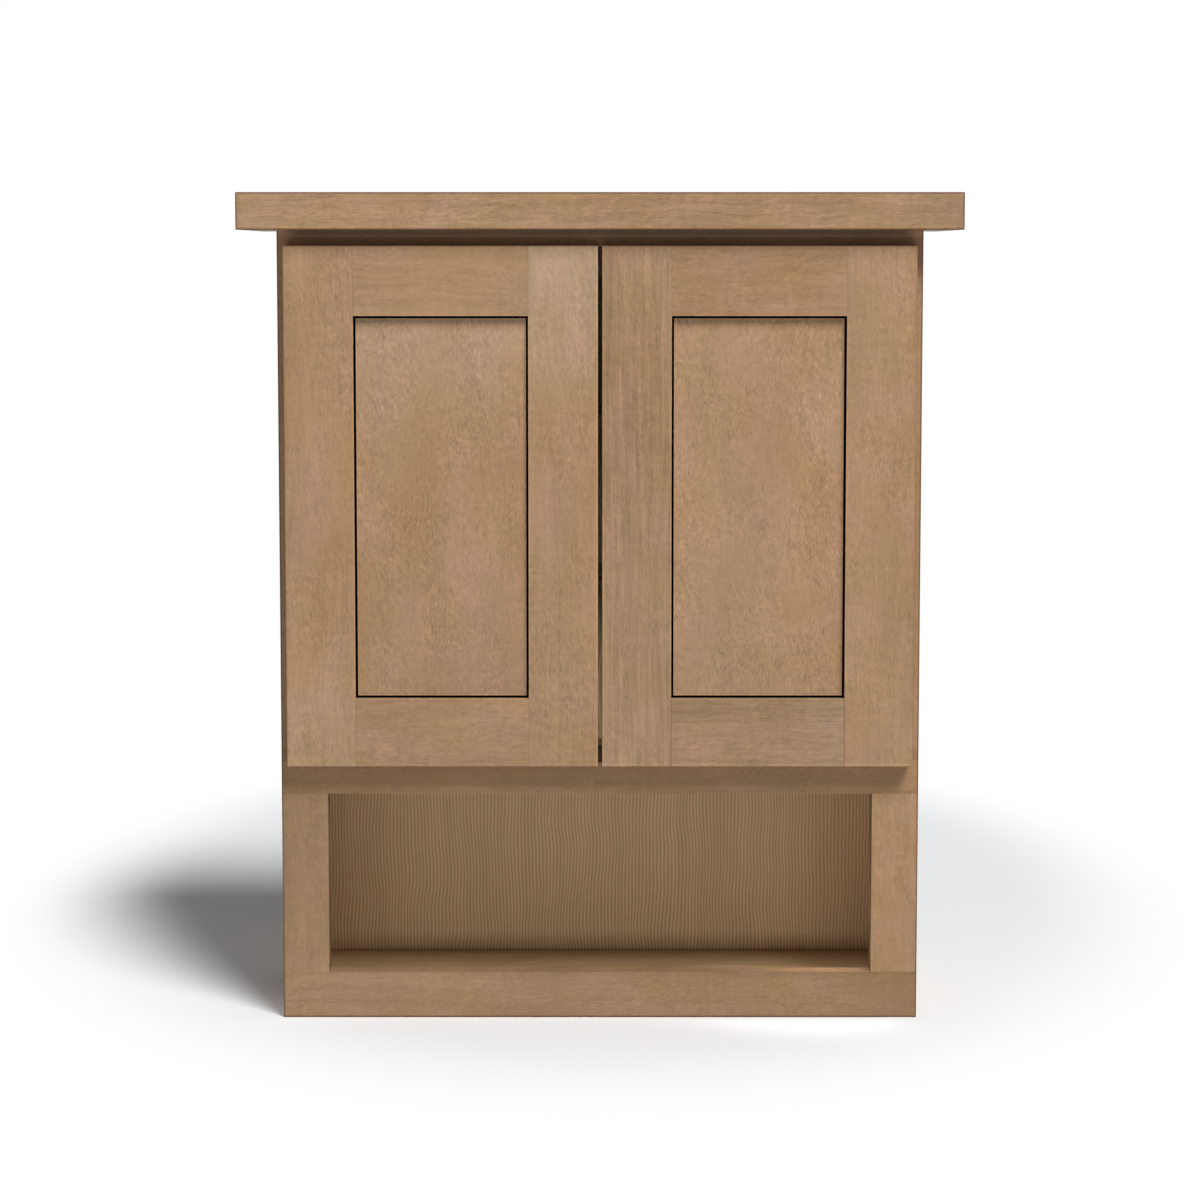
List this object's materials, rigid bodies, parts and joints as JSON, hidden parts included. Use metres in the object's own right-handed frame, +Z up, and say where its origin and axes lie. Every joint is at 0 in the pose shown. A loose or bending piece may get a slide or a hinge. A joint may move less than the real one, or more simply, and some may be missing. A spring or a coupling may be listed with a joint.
{
  "type": "wall medicine cabinet",
  "caption": "Stained maple wall cabinet with flat-panel doors on concealed hinges, adjustable shelves, an open niche below and a square mitred crown.",
  "frame": {"origin": "middle of the footprint of the crown, at the bottom of the cabinet", "axes": "+X to the viewer's right, +Y into the wall, +Z up"},
  "size_m": [0.6794, 0.2508, 0.7896],
  "materials": {
    "stained_maple": "satin stained maple",
    "case_veneer": "satin stained maple veneer on plywood",
    "back_veneer": "satin stained veneer with a fine upright stripe",
    "rail_wood": "unfinished hardwood",
    "birch_dowel": "plain birch",
    "hinge_arm_steel": "nickel-plated steel",
    "hinge_cup_zinc": "nickel-plated zinc casting",
    "screw_steel": "zinc-plated steel",
    "shelf_pin_steel": "nickel-plated steel",
    "bumper": "translucent soft pad",
    "panel_spacer": "soft rubber"
  },
  "bodies": {
    "case": {"back_panel": "back_veneer", "bottom_deck": "case_veneer", "crown_front": "stained_maple", "crown_left": "stained_maple", "crown_right": "stained_maple", "crown_splines": "birch_dowel", "face_frame_bottom_rail": "stained_maple", "face_frame_left_lower_stile": "stained_maple", "face_frame_left_upper_stile": "stained_maple", "face_frame_middle_rail": "stained_maple", "face_frame_right_lower_stile": "stained_maple", "face_frame_right_upper_stile": "stained_maple", "face_frame_top_rail": "stained_maple", "hinge_arm_screws": "screw_steel", "left_lower_hinge_arm": "hinge_arm_steel", "left_side_panel": "case_veneer", "left_upper_hinge_arm": "hinge_arm_steel", "lower_hanging_rail": "rail_wood", "middle_deck": "case_veneer", "pocket_screws": "screw_steel", "right_lower_hinge_arm": "hinge_arm_steel", "right_side_panel": "case_veneer", "right_upper_hinge_arm": "hinge_arm_steel", "shelf_pins": "shelf_pin_steel", "top_board": "stained_maple", "top_deck": "case_veneer", "top_dowels": "birch_dowel", "top_screws": "screw_steel", "upper_hanging_rail": "rail_wood"},
    "left_door": {"left_door_bottom_rail": "stained_maple", "left_door_bumpers": "bumper", "left_door_hinge_cup_screws": "screw_steel", "left_door_hinge_stile": "stained_maple", "left_door_lower_hinge_cup": "hinge_cup_zinc", "left_door_lower_hinge_pin": "screw_steel", "left_door_meeting_stile": "stained_maple", "left_door_panel": "stained_maple", "left_door_panel_spacers": "panel_spacer", "left_door_top_rail": "stained_maple", "left_door_upper_hinge_cup": "hinge_cup_zinc", "left_door_upper_hinge_pin": "screw_steel"},
    "right_door": {"right_door_bottom_rail": "stained_maple", "right_door_bumpers": "bumper", "right_door_hinge_cup_screws": "screw_steel", "right_door_hinge_stile": "stained_maple", "right_door_lower_hinge_cup": "hinge_cup_zinc", "right_door_lower_hinge_pin": "screw_steel", "right_door_meeting_stile": "stained_maple", "right_door_panel": "stained_maple", "right_door_panel_spacers": "panel_spacer", "right_door_top_rail": "stained_maple", "right_door_upper_hinge_cup": "hinge_cup_zinc", "right_door_upper_hinge_pin": "screw_steel"},
    "upper_shelf": {"upper_shelf_board": "case_veneer", "upper_shelf_edging": "stained_maple"},
    "lower_shelf": {"lower_shelf_board": "case_veneer", "lower_shelf_edging": "stained_maple"}
  },
  "joints": [
    {"name": "left_door_hinge", "type": "hinge", "parent": "case", "child": "left_door", "pos_m": [-0.2893, -0.1015, 0.4935], "axis": [0, 0, -1], "range_deg": [0, 105]},
    {"name": "right_door_hinge", "type": "hinge", "parent": "case", "child": "right_door", "pos_m": [0.2893, -0.1015, 0.4935], "axis": [0, 0, 1], "range_deg": [0, 105]},
    {"name": "upper_shelf_lift", "type": "slide", "parent": "case", "child": "upper_shelf", "axis": [0, 0, 1], "range_m": [0, 0.03]},
    {"name": "lower_shelf_lift", "type": "slide", "parent": "case", "child": "lower_shelf", "axis": [0, 0, 1], "range_m": [0, 0.03]}
  ]
}
